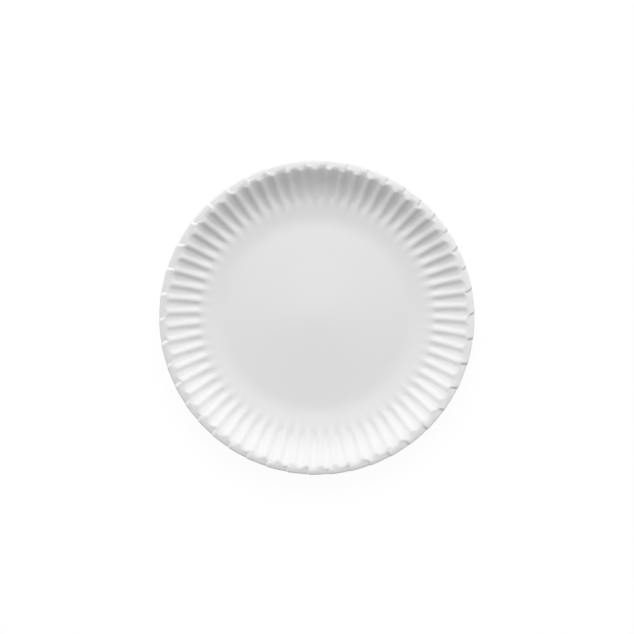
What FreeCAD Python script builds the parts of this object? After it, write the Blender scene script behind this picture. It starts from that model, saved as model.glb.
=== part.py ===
"""Round paper plate pressed from one sheet of board: crowned base, fluted wall, rolled and pleated rim."""
import FreeCAD, Part
import math
import os

# Driving dimensions, in millimetres and degrees. The section runs inwards from the plate's edge.
PLATE_DIAMETER = 230.0
BOARD_THICKNESS = 0.45
ROLL_WIDTH = 3.0
RIM_WIDTH = 1.2
TURN_WIDTH = 2.9
STEEP_WIDTH = 4.9
WALL_WIDTH = 20.0
CONE_WIDTH = 7.1
BEND_WIDTH = 7.5
REST_WIDTH = 3.0
CROWN_BEND_WIDTH = 2.0
CROWN_TOP_RADIUS = 8.0

CROWN_SLOPE = -3.0
CONE_SLOPE = 10.5
WALL_SLOPE = 44.0
RIM_INNER_SLOPE = 2.0
ROLL_SLOPE = -4.0
EDGE_SLOPE = -28.0

FLUTES = 66
FLUTE_HEIGHT = 1.08
FIRST_CREST = 3.87

PLEATS = 44
FIRST_PLEAT = 47.1
PLEAT_STEP = 0.45
PLEAT_WIDTH = 0.9
PLEAT_SLANT = 1.2
PLEAT_WANDER = 3.5
PLEAT_WANDER_FROM = 22.7
PLEAT_FLUTTER = 0.8
PLEAT_FLUTTER_FROM = 1.0

# Places along the section, as radii
EDGE = PLATE_DIAMETER / 2
ROLL = EDGE - ROLL_WIDTH
RIM = ROLL - RIM_WIDTH
TURN = RIM - TURN_WIDTH
STEEP = TURN - STEEP_WIDTH
WALL = STEEP - WALL_WIDTH
CONE = WALL - CONE_WIDTH
BEND = CONE - BEND_WIDTH
REST = BEND - REST_WIDTH
CROWN = REST - CROWN_BEND_WIDTH

# A flute's share of its pitch: two narrow flats, at crest and valley, and two wide flanks
PITCH = 360.0 / FLUTES
FLAT_SHARE = 1 / 6
FLANK_SHARE = 1 / 3


def between(first, last, share):
    """The value a share of the way from first to last."""
    return first + (last - first) * share


class Station:
    """One place on the section of the sheet's middle surface."""

    def __init__(self, radius, slope, beside=None):
        self.radius = radius
        self.slope = slope
        self.height = BOARD_THICKNESS / 2
        if beside:
            mean = math.radians((slope + beside.slope) / 2)
            self.height = beside.height + (radius - beside.radius) * math.tan(mean)


def stretch(section, radius, slope, steps):
    """Continues the section to a radius and slope, in equal steps of both."""
    start = section[-1]
    for step in range(1, steps + 1):
        share = step / steps
        here = between(start.radius, radius, share)
        section.append(Station(here, between(start.slope, slope, share), section[-1]))
    return section[-steps:]


def point(station, angle, side, inward=0.0, upward=0.0, slide=0.0):
    """A point on the sheet's upper (side 1) or lower (side -1) face, moved off the plain section."""
    tilt = math.radians(station.slope)
    half = side * BOARD_THICKNESS / 2
    radius = station.radius - inward - half * math.sin(tilt)
    height = station.height + upward + half * math.cos(tilt)
    turn = math.radians(angle)
    x = radius * math.cos(turn) - half * slide * math.sin(turn)
    y = radius * math.sin(turn) + half * slide * math.cos(turn)
    return FreeCAD.Vector(x, y, height)


def plain_ring(station, side, corners_a_flute=2):
    """A ring with a corner at each flute's crest, and with two to a flute, at each valley too."""
    step = PITCH / corners_a_flute
    return [point(station, FIRST_CREST + step * k, side) for k in range(corners_a_flute * FLUTES)]


def flank_slope(station, share):
    """How steep a flank is across the flute, in radians."""
    pitch = math.radians(PITCH) * station.radius
    return math.atan(share * FLUTE_HEIGHT / (pitch * FLANK_SHARE))


def flute_ring(station, side, share, shift=0.0):
    """A ring with four corners to a flute.

    The share is that of the full depth. The shift turns the flutes' push from square to the
    wall, at 0, to level, at 1, where the wall runs out under the flat of the rim.
    """
    depth = share * FLUTE_HEIGHT / 2
    tilt = math.radians(station.slope)
    steep = math.radians(WALL_SLOPE)
    inward = between(math.sin(tilt), 1 / math.sin(steep), shift) * depth
    upward = between(math.cos(tilt), 0.0, shift) * depth
    slide = math.tan(flank_slope(station, share) * (1 - shift) / 2)
    corners = []
    for flute in range(FLUTES):
        crest = FIRST_CREST + PITCH * flute
        for share_along, level, way in flute_corners():
            angle = crest + PITCH * share_along
            corners.append(point(station, angle, side, inward * level, upward * level, slide * way))
    return corners


def flute_corners():
    """Each corner's place along the pitch, its level, and the way its flank faces."""
    half_flat = FLAT_SHARE / 2
    return (
        (half_flat, 1, 1),
        (half_flat + FLANK_SHARE, -1, 1),
        (1 - half_flat - FLANK_SHARE, -1, -1),
        (1 - half_flat, 1, -1),
    )


def pleat_angle(index):
    """Where a pleat meets the edge: evenly spaced, but for waves twice and four times round the rim."""
    even = FIRST_PLEAT - 360.0 * index / PLEATS
    wander = PLEAT_WANDER * math.cos(2 * math.radians(even - PLEAT_WANDER_FROM))
    return even + wander + PLEAT_FLUTTER * math.cos(4 * math.radians(even - PLEAT_FLUTTER_FROM))


def pleat_ring(station, side, share):
    """A ring of the rim, stepped at each pleat: foot of the step, top of the step, middle of the ramp."""
    slant = PLEAT_SLANT * (EDGE - station.radius) / (EDGE - RIM)
    width = math.degrees(PLEAT_WIDTH / EDGE)
    rise = PLEAT_STEP * share / 2
    corners = []
    for index in range(PLEATS, 0, -1):
        foot = pleat_angle(index) - slant
        top = foot + width
        after = pleat_angle(index - 1) - slant
        corners.append(point(station, foot, side, upward=-rise))
        corners.append(point(station, top, side, upward=rise))
        corners.append(point(station, (top + after) / 2, side))
    return corners


def facet(*corners):
    """A flat face through its corners."""
    return Part.Face(Part.makePolygon(list(corners) + [corners[0]]))


def flat_ring(inner, outer):
    """One flat face between two rings."""
    face = facet(*outer)
    return face.cut(facet(*inner)).Faces[0]


def is_flat(a, b, c, d):
    """Whether four corners lie in one plane."""
    square = (b - a).cross(c - a)
    square.normalize()
    return abs(square.dot(d - a)) < 1e-7


def patch(a, b, c, d):
    """One flat face where four corners allow it, else two."""
    if is_flat(a, b, c, d):
        return [facet(a, b, c, d)]
    return [facet(a, b, c), facet(a, c, d)]


def band(inner, outer):
    """Joins two rings that have the same number of corners."""
    faces = []
    for i in range(len(inner)):
        j = (i + 1) % len(inner)
        faces += patch(inner[i], outer[i], outer[j], inner[j])
    return faces


def turn_of(corner):
    return math.atan2(corner.y, corner.x)


def gap_between(first, second):
    """How far the second corner is round from the first, between minus and plus half a turn."""
    gap = turn_of(second) - turn_of(first)
    return math.atan2(math.sin(gap), math.cos(gap))


def zip_rings(inner, outer):
    """Joins two rings with different corners, always stepping on along the one that lags."""
    nearest = min(range(len(outer)), key=lambda k: abs(gap_between(inner[0], outer[k])))
    outer = outer[nearest:] + outer[:nearest]
    faces = []
    i = 0
    j = 0
    while i < len(inner) or j < len(outer):
        here = inner[i % len(inner)]
        there = outer[j % len(outer)]
        next_here = inner[(i + 1) % len(inner)]
        next_there = outer[(j + 1) % len(outer)]
        inner_lags = gap_between(next_here, next_there) > 0
        if j == len(outer) or (inner_lags and i < len(inner)):
            faces.append(facet(here, there, next_here))
            i += 1
        else:
            faces.append(facet(here, there, next_there))
            j += 1
    return faces


def sheet_side(side):
    """The faces of one side of the sheet, and its outermost ring."""
    rest = Station(REST, 0.0)
    crown = Station(CROWN, CROWN_SLOPE, rest)
    crown_top = Station(CROWN_TOP_RADIUS, CROWN_SLOPE, crown)
    section = [Station(BEND, 0.0)]
    plain = [section[0]] + stretch(section, CONE, CONE_SLOPE, 2)
    foot = stretch(section, WALL, CONE_SLOPE, 1)
    wall = stretch(section, STEEP, WALL_SLOPE, 3)
    steep = stretch(section, TURN, WALL_SLOPE, 1)
    turn = stretch(section, RIM, RIM_INNER_SLOPE, 2)
    rim = stretch(section, ROLL, ROLL_SLOPE, 1)
    rim += stretch(section, EDGE, EDGE_SLOPE, 2)

    crown_rings = [plain_ring(station, side, 1) for station in (crown_top, crown, rest)]
    plain_rings = [plain_ring(station, side) for station in plain]
    flute_rings = [flute_ring(foot[0], side, 0.0)]
    flute_rings += [flute_ring(station, side, 1.0) for station in wall + steep]
    flute_rings += [flute_ring(turn[0], side, 1.0, 0.5), flute_ring(turn[1], side, 1.0, 1.0)]
    rim_rings = [pleat_ring(station, side, 1.0) for station in rim]

    faces = [facet(*crown_rings[0]), flat_ring(crown_rings[-1], plain_rings[0])]
    for rings in (crown_rings, plain_rings, flute_rings, rim_rings):
        for inner, outer in zip(rings, rings[1:]):
            faces += band(inner, outer)
    faces += zip_rings(plain_rings[-1], flute_rings[0])
    faces += zip_rings(flute_rings[-1], rim_rings[0])
    return faces, rim_rings[-1]


def paper_plate():
    """The sheet as one closed solid."""
    upper, upper_edge = sheet_side(1)
    lower, lower_edge = sheet_side(-1)
    shell = Part.makeShell(upper + lower + band(upper_edge, lower_edge))
    shell.sewShape()
    return Part.makeSolid(shell)


os.makedirs("parts", exist_ok=True)
plate = paper_plate()
if plate.Volume < 0:
    plate.reverse()
plate.exportStep("parts/plate.step")
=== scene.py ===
"""A round paper plate in the looks of pressed white board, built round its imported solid."""
import bisect
import math

import bmesh
import bpy
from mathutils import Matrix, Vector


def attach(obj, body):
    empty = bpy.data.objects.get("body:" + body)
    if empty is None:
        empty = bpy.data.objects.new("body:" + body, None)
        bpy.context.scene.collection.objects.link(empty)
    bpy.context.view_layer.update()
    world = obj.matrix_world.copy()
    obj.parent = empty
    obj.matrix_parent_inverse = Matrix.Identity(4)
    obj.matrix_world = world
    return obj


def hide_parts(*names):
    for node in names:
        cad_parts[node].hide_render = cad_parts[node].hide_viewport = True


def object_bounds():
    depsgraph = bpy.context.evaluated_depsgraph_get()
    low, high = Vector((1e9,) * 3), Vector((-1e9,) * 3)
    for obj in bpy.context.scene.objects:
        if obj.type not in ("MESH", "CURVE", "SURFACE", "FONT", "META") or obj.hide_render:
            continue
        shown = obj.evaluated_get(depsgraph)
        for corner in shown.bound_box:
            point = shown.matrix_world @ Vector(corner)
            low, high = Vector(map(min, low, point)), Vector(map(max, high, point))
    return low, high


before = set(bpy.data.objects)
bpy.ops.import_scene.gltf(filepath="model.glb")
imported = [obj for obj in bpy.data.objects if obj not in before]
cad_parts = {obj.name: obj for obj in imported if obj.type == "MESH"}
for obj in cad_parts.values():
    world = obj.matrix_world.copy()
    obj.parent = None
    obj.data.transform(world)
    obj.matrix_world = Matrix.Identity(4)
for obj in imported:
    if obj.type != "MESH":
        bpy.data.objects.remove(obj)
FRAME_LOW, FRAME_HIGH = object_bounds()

bl_info = {
    "name": "Paper plate",
    "version": (1, 0, 0),
    "blender": (4, 5, 0),
    "location": "View3D > Sidebar > Plate",
    "description": "Builds a pressed paper plate and the studio it is shown in",
    "category": "Object",
}

MM = 0.001
FULL_TURN = 2 * math.pi
FRAME_DIAMETER = FRAME_HIGH[0] - FRAME_LOW[0]

# The gap that keeps rounding from putting the sheet's underside below the floor
HAIR = 0.01 * MM
MERGE_DISTANCE = 0.01 * MM

# Rings of the mesh from one bend of the section to the next, from the centre outwards
RING_STEPS = (2, 2, 6, 2, 10, 3, 7, 3, 1, 3)

# How much sharper a flute's crest is than its valley, and how far that lowers the wave
SHARPNESS_AT_FOOT = 0.05
SHARPNESS_AT_RIM = 0.22
SHARPNESS_DROP = 1.08

# A pleat starts at a share of the turn and has its full height at a share of the rim
PLEAT_START = 0.75
PLEAT_FULL = 0.6

# Columns of the mesh across a pleat's step, and how much more its ramp bends at the ends
STEP_COLUMNS = 4
RAMP_POWER = 1.5

FIBRE_DETAIL = 4.0
FIBRE_ROUGHNESS = 0.6
CLOUD_SCALE = 40.0
CLOUD_DETAIL = 2.0
CLOUD_DEPTH = 0.03
BOARD_SPECULAR = 0.3

# In metres, but for the camera's sensor, which Blender takes in millimetres
FLOOR_REACH = 10.0
CAMERA_REACH = 100.0
SENSOR_WIDTH = 36.0


def between(first, last, share):
    """The value a share of the way from first to last."""
    return first + (last - first) * share


def ease(value, start, end):
    """Rises smoothly from 0 at start to 1 at end."""
    share = min(max((value - start) / (end - start), 0.0), 1.0)
    return share * share * (3 - 2 * share)


def length(name, description, millimetres):
    return bpy.props.FloatProperty(
        name=name,
        description=description,
        default=millimetres * MM,
        min=0.0,
        unit="LENGTH",
        precision=5,
    )


def angle(name, description, degrees):
    return bpy.props.FloatProperty(
        name=name, description=description, default=math.radians(degrees), subtype="ANGLE"
    )


def number(name, description, default):
    return bpy.props.IntProperty(name=name, description=description, default=default, min=3)


def amount(name, description, default):
    return bpy.props.FloatProperty(name=name, description=description, default=default, min=0.0)


class PlateShape(bpy.types.PropertyGroup):
    """The sizes of the pressed sheet, its section taken inwards from the edge."""

    clearance: length("Clearance", "How far the sheet keeps inside the packed solid", 0.16)
    board: length("Board", "Thickness of the board", 0.45)
    lip: length("Lip", "Width of the rim's edge, where it curls down", 1.0)
    roll: length("Roll", "Width of the rim's outer part, which falls outwards", 1.4)
    rim: length("Rim", "Width of the flat of the rim", 1.9)
    turn: length("Turn", "Width over which the wall turns over into the rim", 2.6)
    steep: length("Steep wall", "Width of the steepest part of the wall", 5.0)
    wall: length("Wall", "Width over which the wall steepens", 18.0)
    cone: length("Cone", "Width of the shallow cone inside the wall", 8.8)
    bend: length("Bend", "Width of the bend round the base", 12.0)
    crown_slope: angle("Crown slope", "Slope of the base, which rises to its middle", -3.6)
    crown_top: length("Crown top", "Radius of the rounded top of the crown", 8.0)
    cone_slope: angle("Cone slope", "Slope of the shallow cone", 10.5)
    wall_slope: angle("Wall slope", "Slope of the steepest part of the wall", 44.0)
    turn_slope: angle("Turn slope", "Slope where the wall starts to turn over", 39.5)
    rim_slope: angle("Rim slope", "Slope of the rim's inner edge", 2.0)
    roll_slope: angle("Roll slope", "Slope where the rim starts to roll down", -6.0)
    lip_slope: angle("Lip slope", "Slope where the rim's edge starts to curl down", -8.5)
    edge_slope: angle("Edge slope", "Slope of the rim's outer edge", -45.0)
    flutes: number("Flutes", "Flutes round the wall", 66)
    flute_height: length("Flute height", "Height of a plain wave from valley to crest", 1.4)
    first_crest: angle("First crest", "Where the first flute's crest stands, from +X", 3.87)
    press_right: length("Press right", "How far to +X the press was off the plate's centre", 0.65)
    press_up: length("Press up", "How far to +Y the press was off the plate's centre", 1.4)
    lead: length("Lead", "How far inside the wall the flutes start", 2.2)
    fade: length("Fade", "Width over which the flutes grow out of the cone", 6.5)
    pleats: number("Pleats", "Pleats round the rim", 44)
    first_pleat: angle("First pleat", "Where the first pleat meets the edge", 46.85)
    pleat_wander: angle("Pleat wander", "Wave of their spacing, twice round the rim", 3.5)
    pleat_wander_from: angle("Wander start", "Where the wander is greatest", 21.4)
    pleat_flutter: angle("Pleat flutter", "Wave of their spacing, four times round the rim", 0.9)
    pleat_flutter_from: angle("Flutter start", "Where the flutter is greatest", 3.5)
    pleat_step: length("Pleat step", "Height of a pleat's step", 1.2)
    pleat_width: length("Pleat width", "Width of a pleat's step", 1.6)
    pleat_notch: length("Pleat notch", "How far the edge is drawn in at a pleat's foot", 0.25)
    pleat_slant: angle("Pleat slant", "How far clockwise a pleat's inner end lies", 0.4)
    pleat_lean: angle("Pleat lean", "Wave of the pleats' slant, twice round the rim", 0.5)
    pleat_lean_from: angle("Lean start", "Where the slant is greatest", 10.0)


class PlateFinish(bpy.types.PropertyGroup):
    """The look of the board."""

    colour: bpy.props.FloatVectorProperty(
        name="Colour",
        description="Colour of the board",
        subtype="COLOR",
        default=(0.82, 0.82, 0.82),
    )
    roughness: amount("Roughness", "How matt the board is", 0.6)
    fibre: length("Fibre", "Size of the board's fibres", 1.2)
    fibre_depth: length("Fibre depth", "Depth of the board's fibres", 0.01)


class PlateStage(bpy.types.PropertyGroup):
    """The studio: floor, lights and camera."""

    floor: amount("Floor", "Grey of the floor where it lights the plate", 0.8)
    seen_floor: amount("Seen floor", "Grey of the floor as seen, which takes the shadow", 0.06)
    seen_glow: amount("Seen glow", "Even light of the floor as seen", 0.95)
    fill: amount("Fill", "Light from low on the left and the right", 1.48)
    lamp: amount("Lamp", "Power of the soft lamp, in watts", 74.3)
    lamp_distance: length("Lamp distance", "From the plate's centre to the lamp", 3000.0)
    lamp_size: length("Lamp size", "Width of the lamp", 2000.0)
    lamp_height: angle("Lamp height", "How high the lamp stands over the floor", 43.0)
    camera_distance: length("Camera distance", "From the rim's plane to the camera", 1500.0)
    camera_tilt: angle("Camera tilt", "How far the camera leans past straight down", 4.0)
    frame_width: length("Frame width", "What the picture is wide, at the rim's plane", 461.7)
    aim_right: length("Aim right", "How far right of the plate's centre the camera aims", 0.11)
    aim_up: length("Aim up", "How far above the plate's centre the camera aims", 1.04)


class Section:
    """The section of the sheet's middle surface, from the plate's centre to its edge."""

    def __init__(self, shape):
        self.edge = FRAME_DIAMETER / 2 - shape.clearance
        self.lip = self.edge - shape.lip
        self.roll = self.lip - shape.roll
        self.rim = self.roll - shape.rim
        self.turn = self.rim - shape.turn
        self.steep = self.turn - shape.steep
        self.wall = self.steep - shape.wall
        self.cone = self.wall - shape.cone
        self.base = self.cone - shape.bend
        self.bends = (
            (0.0, 0.0),
            (shape.crown_top, shape.crown_slope),
            (self.base, shape.crown_slope),
            (self.cone, shape.cone_slope),
            (self.wall, shape.cone_slope),
            (self.steep, shape.wall_slope),
            (self.turn, shape.turn_slope),
            (self.rim, shape.rim_slope),
            (self.roll, shape.roll_slope),
            (self.lip, shape.lip_slope),
            (self.edge, shape.edge_slope),
        )

    def slope(self, radius):
        """The slope at a radius: even changes from one bend to the next."""
        for (start, first), (end, last) in zip(self.bends, self.bends[1:]):
            if radius <= end:
                return between(first, last, (radius - start) / (end - start))
        return self.bends[-1][1]

    def radii(self):
        """Where the rings of the mesh stand: closer where the sheet turns more sharply."""
        radii = [0.0]
        for (start, _), (end, _), count in zip(self.bends, self.bends[1:], RING_STEPS):
            radii += [between(start, end, (k + 1) / count) for k in range(count)]
        return radii

    def points(self, board):
        """The radius and height of each ring, with the sheet's lowest one on the floor."""
        height = 0.0
        points = []
        before = 0.0
        for radius in self.radii():
            middle = self.slope((radius + before) / 2)
            height += (radius - before) * math.tan(middle)
            points.append((radius, height))
            before = radius
        lift = FRAME_LOW[2] + HAIR + board / 2 - min(height for _, height in points)
        return [(radius, height + lift) for radius, height in points]


def aside(shape, turned):
    """How far the press's marks lie round the plate at a place, as its centre was off."""
    return shape.press_up * math.cos(turned) - shape.press_right * math.sin(turned)


class Flutes:
    """The wave across the wall, which runs out under the flat of the rim."""

    def __init__(self, shape, section):
        self.shape = shape
        self.section = section

    def push(self, radius, turned):
        """How far the sheet is pushed inwards and upwards at a place."""
        shape = self.shape
        section = self.section
        start = section.wall - shape.lead
        share = ease(radius, start, start + shape.fade)
        share *= 1 - ease(radius, section.rim, section.roll)
        if share == 0:
            return 0.0, 0.0
        shift = ease(radius, section.turn, section.rim)
        depth = share * shape.flute_height / 2
        along = ease(radius, section.wall, section.rim)
        sharp = between(SHARPNESS_AT_FOOT, SHARPNESS_AT_RIM, along)
        phase = shape.flutes * (turned - aside(shape, turned) / radius - shape.first_crest)
        wave = math.cos(phase) + sharp * math.cos(2 * phase)
        level = depth * wave / (1 + SHARPNESS_DROP * sharp)
        slope = section.slope(min(radius, section.turn))
        inward = between(math.sin(slope), 1 / math.sin(shape.wall_slope), shift)
        upward = between(math.cos(slope), 0.0, shift)
        return inward * level, upward * level


class Pleats:
    """The rim's small folds, each a step that faces clockwise and a long ramp down."""

    def __init__(self, shape, section, around):
        self.shape = shape
        self.section = section
        self.around = around
        self.width = shape.pleat_width / section.edge
        even = [shape.first_pleat - FULL_TURN * k / shape.pleats for k in range(shape.pleats)]
        self.feet = sorted((turned + self.stray(turned)) % FULL_TURN for turned in even)
        self.columns = [round(foot / FULL_TURN * around) for foot in self.feet]

    def stray(self, turned):
        """How far round a pleat lies from where even spacing puts it."""
        shape = self.shape
        stray = shape.pleat_wander * math.cos(2 * (turned - shape.pleat_wander_from))
        stray += shape.pleat_flutter * math.cos(4 * (turned - shape.pleat_flutter_from))
        return stray + aside(shape, turned) / self.section.edge

    def slant(self, turned):
        """How far a pleat's inner end lies clockwise of its outer one."""
        shape = self.shape
        wave = math.cos(2 * (turned - shape.pleat_lean_from))
        return shape.pleat_slant + shape.pleat_lean * wave

    def place(self, column):
        """Where a column of the mesh meets the edge, and its share of a pleat's height."""
        index = bisect.bisect_right(self.columns, column) - 1
        following = (index + 1) % len(self.feet)
        foot = self.feet[index]
        step = (column - self.columns[index]) % self.around
        if step < STEP_COLUMNS:
            share = step / STEP_COLUMNS
            return foot + self.width * share, share
        count = (self.columns[following] - self.columns[index]) % self.around
        ramp = (self.feet[following] - foot) % FULL_TURN - self.width
        along = (step - STEP_COLUMNS) / (count - STEP_COLUMNS)
        fall = math.copysign(abs(1 - 2 * along) ** RAMP_POWER, 1 - 2 * along)
        return foot + self.width + ramp * along, (1 + fall) / 2

    def fold(self, radius, turned):
        """A column's new place, and how far the rim is raised and drawn in there."""
        section = self.section
        share = ease(radius, section.turn, section.rim)
        if share == 0:
            return turned, 0.0, 0.0
        column = round(turned / FULL_TURN * self.around) % self.around
        there, level = self.place(column)
        inwards = min((section.edge - radius) / (section.edge - section.rim), 1.0)
        there -= self.slant(there) * inwards
        way = (there - turned + math.pi) % FULL_TURN - math.pi
        start = between(section.turn, section.rim, PLEAT_START)
        full = between(section.rim, section.roll, PLEAT_FULL)
        raised = ease(radius, start, full) * self.shape.pleat_step * (level - 0.5)
        drawn = ease(radius, section.rim, section.edge) * self.shape.pleat_notch * (1 - level)
        return turned + share * way, raised, drawn


def pressed_sheet(shape, around):
    """A bmesh of the sheet's middle surface: the section spun round, then pressed."""
    section = Section(shape)
    flutes = Flutes(shape, section)
    pleats = Pleats(shape, section, around)
    sheet = bmesh.new()
    points = section.points(shape.board)
    outline = [sheet.verts.new((radius, 0.0, height)) for radius, height in points]
    line = [sheet.edges.new(pair) for pair in zip(outline, outline[1:])]
    bmesh.ops.spin(
        sheet,
        geom=outline + line,
        cent=(0.0, 0.0, 0.0),
        axis=(0.0, 0.0, 1.0),
        angle=FULL_TURN,
        steps=around,
        use_merge=True,
    )
    bmesh.ops.remove_doubles(sheet, verts=sheet.verts, dist=MERGE_DISTANCE)
    for vert in sheet.verts:
        radius = math.hypot(vert.co.x, vert.co.y)
        turned, raised, drawn = pleats.fold(radius, math.atan2(vert.co.y, vert.co.x))
        inward, upward = flutes.push(radius, turned)
        radius -= inward + drawn
        height = vert.co.z + upward + raised
        vert.co = (radius * math.cos(turned), radius * math.sin(turned), height)
    bmesh.ops.recalc_face_normals(sheet, faces=sheet.faces)
    if sum(face.normal.z for face in sheet.faces) < 0:
        bmesh.ops.reverse_faces(sheet, faces=sheet.faces)
    for face in sheet.faces:
        face.smooth = True
    return sheet


def add_object(name, mesh):
    """Puts a mesh in the scene, at the origin."""
    piece = bpy.data.objects.new(name, mesh)
    bpy.context.scene.collection.objects.link(piece)
    return piece


class Value:
    """A socket that can be used in sums: each operator adds the Math node it stands for."""

    def __init__(self, shader, socket):
        self.shader = shader
        self.socket = socket

    def math(self, operation, first, second):
        return self.shader.node("ShaderNodeMath", {"operation": operation}, {0: first, 1: second})

    def __add__(self, other):
        return self.math("ADD", self, other)

    def __radd__(self, other):
        return self.math("ADD", other, self)

    def __sub__(self, other):
        return self.math("SUBTRACT", self, other)

    def __rsub__(self, other):
        return self.math("SUBTRACT", other, self)

    def __mul__(self, other):
        return self.math("MULTIPLY", self, other)

    def __rmul__(self, other):
        return self.math("MULTIPLY", other, self)


class Shader:
    """A material's or world's nodes."""

    def __init__(self, owner):
        owner.use_nodes = True
        self.tree = owner.node_tree
        self.tree.nodes.clear()

    def node(self, kind, settings=None, sockets=None, output=0):
        """Adds a node: its settings first, then the values or links of its sockets."""
        added = self.tree.nodes.new(kind)
        for name, value in (settings or {}).items():
            setattr(added, name, value)
        for name, value in (sockets or {}).items():
            if isinstance(value, Value):
                self.tree.links.new(value.socket, added.inputs[name])
            else:
                added.inputs[name].default_value = value
        if not added.outputs:
            return None
        return Value(self, added.outputs[output])

    def mixed(self, factor, first, second):
        """A colour between two, by a factor."""
        settings = {"data_type": "RGBA"}
        return self.node("ShaderNodeMix", settings, {0: factor, 6: first, 7: second}, output=2)

    def seen(self):
        """1 for what the camera sees, straight or in a gloss, and 0 for the plate's light."""
        camera = self.node("ShaderNodeLightPath", output="Is Camera Ray")
        glossy = self.node("ShaderNodeLightPath", output="Is Glossy Ray")
        through = self.node("ShaderNodeLightPath", output="Is Transmission Ray")
        return self.node("ShaderNodeClamp", sockets={"Value": camera + glossy + through})


def grey(level):
    return (level, level, level, 1.0)


def board_material(finish):
    """Smooth white board with a trace of its fibres."""
    material = bpy.data.materials.new("board")
    shader = Shader(material)
    place = shader.node("ShaderNodeTexCoord", output="Object")
    fibres = shader.node(
        "ShaderNodeTexNoise",
        sockets={
            "Vector": place,
            "Scale": 1 / finish.fibre,
            "Detail": FIBRE_DETAIL,
            "Roughness": FIBRE_ROUGHNESS,
        },
    )
    cloud = shader.node(
        "ShaderNodeTexNoise",
        sockets={"Vector": place, "Scale": CLOUD_SCALE, "Detail": CLOUD_DETAIL},
    )
    tint = (1 - CLOUD_DEPTH / 2) + CLOUD_DEPTH * cloud
    colour = shader.mixed(tint, grey(0.0), (*finish.colour, 1.0))
    bump = shader.node(
        "ShaderNodeBump",
        sockets={"Strength": 1.0, "Distance": finish.fibre_depth, "Height": fibres},
    )
    board = shader.node(
        "ShaderNodeBsdfPrincipled",
        sockets={
            "Base Color": colour,
            "Roughness": finish.roughness,
            "Specular IOR Level": BOARD_SPECULAR,
            "Normal": bump,
        },
    )
    shader.node("ShaderNodeOutputMaterial", sockets={"Surface": board})
    return material


class PLATE_OT_sheet(bpy.types.Operator):
    """Build the plate from one pressed sheet of board"""

    bl_idname = "plate.sheet"
    bl_label = "Plate"

    around: bpy.props.IntProperty(
        name="Around", description="Steps round the plate", default=1056, min=12
    )

    def execute(self, context):
        shape = context.scene.plate_shape
        sheet = pressed_sheet(shape, self.around)
        mesh = bpy.data.meshes.new("paper_plate")
        sheet.to_mesh(mesh)
        sheet.free()
        mesh.materials.append(board_material(context.scene.plate_finish))
        piece = add_object("paper_plate", mesh)
        board = piece.modifiers.new("Board", "SOLIDIFY")
        board.thickness = shape.board
        board.offset = 0.0
        board.use_even_offset = True
        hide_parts("plate")
        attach(piece, "root")
        return {"FINISHED"}


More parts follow.
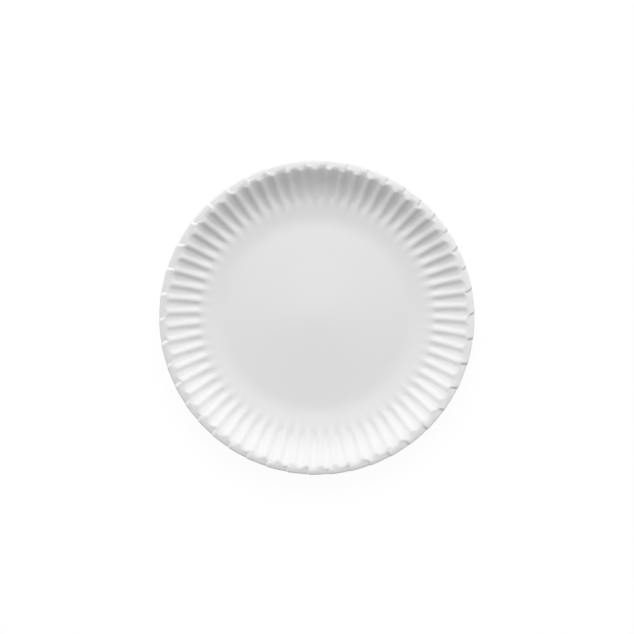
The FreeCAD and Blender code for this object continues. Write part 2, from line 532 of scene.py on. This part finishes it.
class PLATE_OT_stage(bpy.types.Operator):
    """Set up the floor, the lights and the camera"""

    bl_idname = "plate.stage"
    bl_label = "Studio"

    def execute(self, context):
        stage = context.scene.plate_stage
        self.floor(stage)
        self.sky(context.scene, stage)
        self.lamp(stage)
        self.camera(context.scene, stage)
        context.scene.view_settings.view_transform = "Standard"
        return {"FINISHED"}

    def floor(self, stage):
        plane = bmesh.new()
        bmesh.ops.create_grid(plane, x_segments=1, y_segments=1, size=FLOOR_REACH)
        bmesh.ops.translate(plane, verts=plane.verts, vec=(0.0, 0.0, FRAME_LOW[2]))
        mesh = bpy.data.meshes.new("floor")
        plane.to_mesh(mesh)
        plane.free()
        material = bpy.data.materials.new("floor")
        shader = Shader(material)
        seen = shader.seen()
        surface = shader.node(
            "ShaderNodeBsdfPrincipled",
            sockets={
                "Base Color": shader.mixed(seen, grey(stage.floor), grey(stage.seen_floor)),
                "Roughness": 1.0,
                "Specular IOR Level": 0.0,
                "Emission Color": shader.mixed(seen, grey(0.0), grey(stage.seen_glow)),
                "Emission Strength": 1.0,
            },
        )
        shader.node("ShaderNodeOutputMaterial", sockets={"Surface": surface})
        mesh.materials.append(material)
        add_object("floor", mesh)

    def sky(self, scene, stage):
        world = bpy.data.worlds.new("studio")
        scene.world = world
        shader = Shader(world)
        way = shader.node("ShaderNodeTexCoord", output="Generated")
        sideways = shader.node("ShaderNodeSeparateXYZ", sockets={"Vector": way}, output="X")
        fill = shader.mixed(sideways * sideways, grey(0.0), grey(stage.fill))
        colour = shader.mixed(shader.seen(), fill, grey(1.0))
        sockets = {"Color": colour, "Strength": 1.0}
        background = shader.node("ShaderNodeBackground", sockets=sockets)
        shader.node("ShaderNodeOutputWorld", sockets={"Surface": background})

    def lamp(self, stage):
        light = bpy.data.lights.new("lamp", "AREA")
        light.shape = "DISK"
        light.size = stage.lamp_size
        light.energy = stage.lamp
        lamp = bpy.data.objects.new("lamp", light)
        away = stage.lamp_distance
        high = stage.lamp_height
        lamp.location = (0.0, away * math.cos(high), away * math.sin(high))
        lamp.rotation_euler = (high - math.pi / 2, 0.0, 0.0)
        bpy.context.scene.collection.objects.link(lamp)

    def camera(self, scene, stage):
        lens = bpy.data.cameras.new("camera")
        lens.sensor_width = SENSOR_WIDTH
        lens.lens = SENSOR_WIDTH * stage.camera_distance / stage.frame_width
        lens.clip_end = CAMERA_REACH
        camera = bpy.data.objects.new("camera", lens)
        away = stage.camera_distance
        camera.location = (
            stage.aim_right,
            stage.aim_up + away * math.sin(stage.camera_tilt),
            FRAME_HIGH[2] + away * math.cos(stage.camera_tilt),
        )
        camera.rotation_euler = (-stage.camera_tilt, 0.0, 0.0)
        scene.collection.objects.link(camera)
        scene.camera = camera


class PLATE_PT_sidebar(bpy.types.Panel):
    """The plate's buttons and sizes"""

    bl_idname = "PLATE_PT_sidebar"
    bl_label = "Paper plate"
    bl_space_type = "VIEW_3D"
    bl_region_type = "UI"
    bl_category = "Plate"

    def draw(self, context):
        layout = self.layout
        for operator in OPERATORS:
            layout.operator(operator.bl_idname)
        scene = context.scene
        for group in (scene.plate_shape, scene.plate_finish, scene.plate_stage):
            box = layout.box()
            for name in group.__annotations__:
                box.prop(group, name)


OPERATORS = (PLATE_OT_sheet, PLATE_OT_stage)
CLASSES = (PlateShape, PlateFinish, PlateStage, *OPERATORS, PLATE_PT_sidebar)


def register():
    for cls in CLASSES:
        bpy.utils.register_class(cls)
    bpy.types.Scene.plate_shape = bpy.props.PointerProperty(type=PlateShape)
    bpy.types.Scene.plate_finish = bpy.props.PointerProperty(type=PlateFinish)
    bpy.types.Scene.plate_stage = bpy.props.PointerProperty(type=PlateStage)


def unregister():
    del bpy.types.Scene.plate_shape
    del bpy.types.Scene.plate_finish
    del bpy.types.Scene.plate_stage
    for cls in reversed(CLASSES):
        bpy.utils.unregister_class(cls)


def main():
    register()
    bpy.ops.plate.sheet()
    bpy.ops.plate.stage()


if __name__ == "__main__":
    main()
